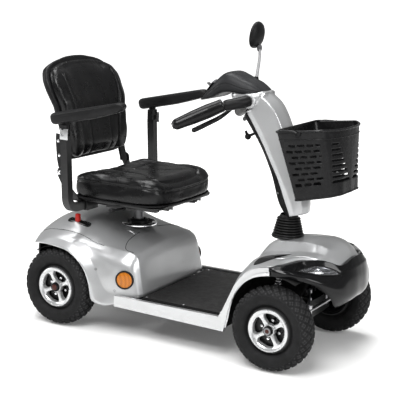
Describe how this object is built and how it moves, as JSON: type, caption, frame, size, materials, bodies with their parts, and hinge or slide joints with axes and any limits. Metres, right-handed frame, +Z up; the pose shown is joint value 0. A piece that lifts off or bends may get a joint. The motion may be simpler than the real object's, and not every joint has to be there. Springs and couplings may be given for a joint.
{
  "type": "mobility scooter",
  "caption": "Four-wheeled battery mobility scooter with a steering tiller, a swivelling padded armchair seat, a step-through deck, a mirror and a front basket.",
  "frame": {"origin": "on the ground under the middle of the overall length and width", "axes": "+X is the direction of travel, +Y the rider's left, +Z up"},
  "size_m": [1.22, 0.624, 1.1104],
  "materials": {
    "frame_black": "satin powder coat",
    "silver_shell": "metallic painted",
    "black_plastic": "fine grained",
    "dark_grey_plastic": "satin",
    "vinyl_black": "grained vinyl",
    "rubber_mat": "ribbed",
    "tyre_black": "pneumatic",
    "rim_silver": "painted cast",
    "steel": "plain",
    "boot_rubber": "moulded",
    "lens_clear": "clear",
    "lens_red": "clear red",
    "reflector_orange": "prismatic",
    "lever_red": "moulded",
    "mirror_face": "polished",
    "battery_case": "moulded"
  },
  "bodies": {
    "chassis": {"main_frame": "frame_black", "deck_pan": "black_plastic", "floor_mat": "rubber_mat", "sill_trims": "silver_shell", "rear_shroud": "silver_shell", "rear_bumper": "black_plastic", "tail_lamps": "lens_red", "side_reflectors": "reflector_orange", "battery_packs": "battery_case", "transaxle": "steel", "drive_motor": "frame_black", "front_cowl": "silver_shell", "nose_bumper": "black_plastic", "headlamp_lenses": "lens_clear", "seat_collar": "rim_silver"},
    "rear_wheel_left": {"rear_tyre_left": "tyre_black", "rear_rim_left": "rim_silver", "half_shaft_left": "steel"},
    "rear_wheel_right": {"rear_tyre_right": "tyre_black", "rear_rim_right": "rim_silver", "half_shaft_right": "steel"},
    "knuckle_l": {"knuckle_left": "frame_black"},
    "knuckle_r": {"knuckle_right": "frame_black"},
    "front_wheel_left": {"front_tyre_left": "tyre_black", "front_rim_left": "rim_silver"},
    "front_wheel_right": {"front_tyre_right": "tyre_black", "front_rim_right": "rim_silver"},
    "steering_rods": {"steering_rods": "steel"},
    "steering": {"steering_column": "frame_black", "boot": "boot_rubber"},
    "tiller": {"tiller_frame": "frame_black", "tiller_rear_cover": "black_plastic", "tiller_front_cover": "silver_shell", "console": "dark_grey_plastic", "grips": "black_plastic", "bag_hook": "black_plastic", "basket_bracket": "frame_black"},
    "throttle": {"throttle_lever": "black_plastic"},
    "dial": {"speed_dial": "black_plastic"},
    "key": {"ignition_key": "steel"},
    "horn": {"horn_button": "dark_grey_plastic"},
    "tilt_lever": {"tilt_lever": "black_plastic"},
    "basket": {"basket": "black_plastic"},
    "basket_handle": {"basket_handle": "black_plastic"},
    "mirror_arm": {"mirror_stem": "steel"},
    "mirror_head": {"mirror_shell": "black_plastic", "mirror_glass": "mirror_face"},
    "seat_post": {"seat_post": "frame_black"},
    "swivel": {"swivel_plate": "frame_black"},
    "seat": {"seat_pan": "frame_black", "seat_cushion": "vinyl_black"},
    "backrest": {"backrest_shell": "black_plastic", "backrest_cushion": "vinyl_black"},
    "armrest_left": {"armrest_tube_left": "frame_black"},
    "armrest_right": {"armrest_tube_right": "frame_black"},
    "armpad_left": {"armrest_pad_left": "vinyl_black"},
    "armpad_right": {"armrest_pad_right": "vinyl_black"},
    "swivel_lever": {"swivel_lever": "black_plastic"},
    "slide_lever": {"slide_lever": "black_plastic"},
    "freewheel_lever": {"freewheel_lever": "lever_red"}
  },
  "joints": [
    {"name": "rear_wheel_left_spin", "type": "hinge", "parent": "chassis", "child": "rear_wheel_left", "pos_m": [-0.452, 0.248, 0.144], "axis": [0, 1, 0], "continuous": true},
    {"name": "rear_wheel_right_spin", "type": "hinge", "parent": "chassis", "child": "rear_wheel_right", "pos_m": [-0.452, -0.248, 0.144], "axis": [0, 1, 0], "continuous": true},
    {"name": "steer", "type": "hinge", "parent": "chassis", "child": "steering", "pos_m": [0.331, 0, 0.2], "axis": [0, 0, -1], "range_deg": [-32, 32]},
    {"name": "knuckle_left_turn", "type": "hinge", "parent": "chassis", "child": "knuckle_l", "pos_m": [0.408, 0.17, 0.144], "axis": [0, 0, -1], "range_deg": [-32, 32]},
    {"name": "knuckle_right_turn", "type": "hinge", "parent": "chassis", "child": "knuckle_r", "pos_m": [0.408, -0.17, 0.144], "axis": [0, 0, -1], "range_deg": [-32, 32]},
    {"name": "front_wheel_left_spin", "type": "hinge", "parent": "knuckle_l", "child": "front_wheel_left", "pos_m": [0.408, 0.248, 0.144], "axis": [0, 1, 0], "continuous": true},
    {"name": "front_wheel_right_spin", "type": "hinge", "parent": "knuckle_r", "child": "front_wheel_right", "pos_m": [0.408, -0.248, 0.144], "axis": [0, 1, 0], "continuous": true},
    {"name": "steering_rods_swing", "type": "hinge", "parent": "steering", "child": "steering_rods", "pos_m": [0.421, 0, 0.205], "axis": [0, 0, -1], "range_deg": [-32, 32]},
    {"name": "tiller_tilt", "type": "hinge", "parent": "steering", "child": "tiller", "pos_m": [0.331, 0, 0.43], "axis": [0, 1, 0], "range_deg": [-4, 16], "deforming": ["boot"]},
    {"name": "throttle_swing", "type": "hinge", "parent": "tiller", "child": "throttle", "pos_m": [0.134, 0, 0.826], "axis": [-0.38, 0, 0.925], "range_deg": [-9, 9], "stiffness_Nm_per_rad": 1},
    {"name": "speed_dial_turn", "type": "hinge", "parent": "tiller", "child": "dial", "pos_m": [0.03, 0, 0.89], "axis": [-0.7659, 0, 0.6429], "range_deg": [-135, 135]},
    {"name": "key_turn", "type": "hinge", "parent": "tiller", "child": "key", "pos_m": [0.03, -0.034, 0.89], "axis": [-0.7659, 0, 0.6429], "range_deg": [0, 90]},
    {"name": "horn_press", "type": "slide", "parent": "tiller", "child": "horn", "axis": [-0.7659, 0, 0.6429], "range_m": [-0.0025, 0], "stiffness_N_per_m": 200},
    {"name": "tilt_lever_pull", "type": "hinge", "parent": "tiller", "child": "tilt_lever", "pos_m": [0.29, 0.045, 0.6], "axis": [0, 1, 0], "range_deg": [-25, 0]},
    {"name": "basket_lift", "type": "slide", "parent": "tiller", "child": "basket", "axis": [0, 0, 1], "range_m": [0, 0.04]},
    {"name": "basket_handle_swing", "type": "hinge", "parent": "basket", "child": "basket_handle", "pos_m": [0.42, 0, 0.782], "axis": [0, 1, 0], "range_deg": [0, 65]},
    {"name": "mirror_arm_turn", "type": "hinge", "parent": "tiller", "child": "mirror_arm", "pos_m": [0.159, 0.046, 0.9], "axis": [0, 0, 1], "range_deg": [-30, 30]},
    {"name": "mirror_head_tilt", "type": "hinge", "parent": "mirror_arm", "child": "mirror_head", "pos_m": [0.134, 0.112, 1.034], "axis": [0, 1, 0], "range_deg": [-12, 12]},
    {"name": "seat_height", "type": "slide", "parent": "chassis", "child": "seat_post", "axis": [0, 0, 1], "range_m": [0, 0.06]},
    {"name": "seat_swivel", "type": "hinge", "parent": "seat_post", "child": "swivel", "pos_m": [-0.283, 0, 0.4], "axis": [0, 0, 1], "range_deg": [-90, 90]},
    {"name": "seat_fore_aft", "type": "slide", "parent": "swivel", "child": "seat", "axis": [-1, 0, 0], "range_m": [-0.03, 0.04]},
    {"name": "backrest_fold", "type": "hinge", "parent": "seat", "child": "backrest", "pos_m": [-0.485, 0, 0.553], "axis": [0, 1, 0], "range_deg": [-6, 55]},
    {"name": "armrest_left_width", "type": "slide", "parent": "seat", "child": "armrest_left", "axis": [0, 1, 0], "range_m": [0, 0.04]},
    {"name": "armrest_right_width", "type": "slide", "parent": "seat", "child": "armrest_right", "axis": [0, -1, 0], "range_m": [0, 0.04]},
    {"name": "armpad_left_flip", "type": "hinge", "parent": "armrest_left", "child": "armpad_left", "pos_m": [-0.412, 0.285, 0.728], "axis": [0, 1, 0], "range_deg": [-80, 0]},
    {"name": "armpad_right_flip", "type": "hinge", "parent": "armrest_right", "child": "armpad_right", "pos_m": [-0.412, -0.285, 0.728], "axis": [0, -1, 0], "range_deg": [0, 80]},
    {"name": "swivel_lever_pull", "type": "hinge", "parent": "swivel", "child": "swivel_lever", "pos_m": [-0.19, 0.06, 0.44], "axis": [0, 0, 1], "range_deg": [-14, 0]},
    {"name": "slide_lever_pull", "type": "hinge", "parent": "seat", "child": "slide_lever", "pos_m": [-0.256, -0.142, 0.438], "axis": [0, 0, 1], "range_deg": [0, 14]},
    {"name": "freewheel_lever_throw", "type": "hinge", "parent": "chassis", "child": "freewheel_lever", "pos_m": [-0.436, -0.17, 0.3], "axis": [0, 1, 0], "range_deg": [0, 20]}
  ],
  "couplings": [
    {"joint": "knuckle_left_turn", "follows": "steer", "ratio": 1},
    {"joint": "knuckle_right_turn", "follows": "steer", "ratio": 1},
    {"joint": "steering_rods_swing", "follows": "steer", "ratio": -1}
  ]
}
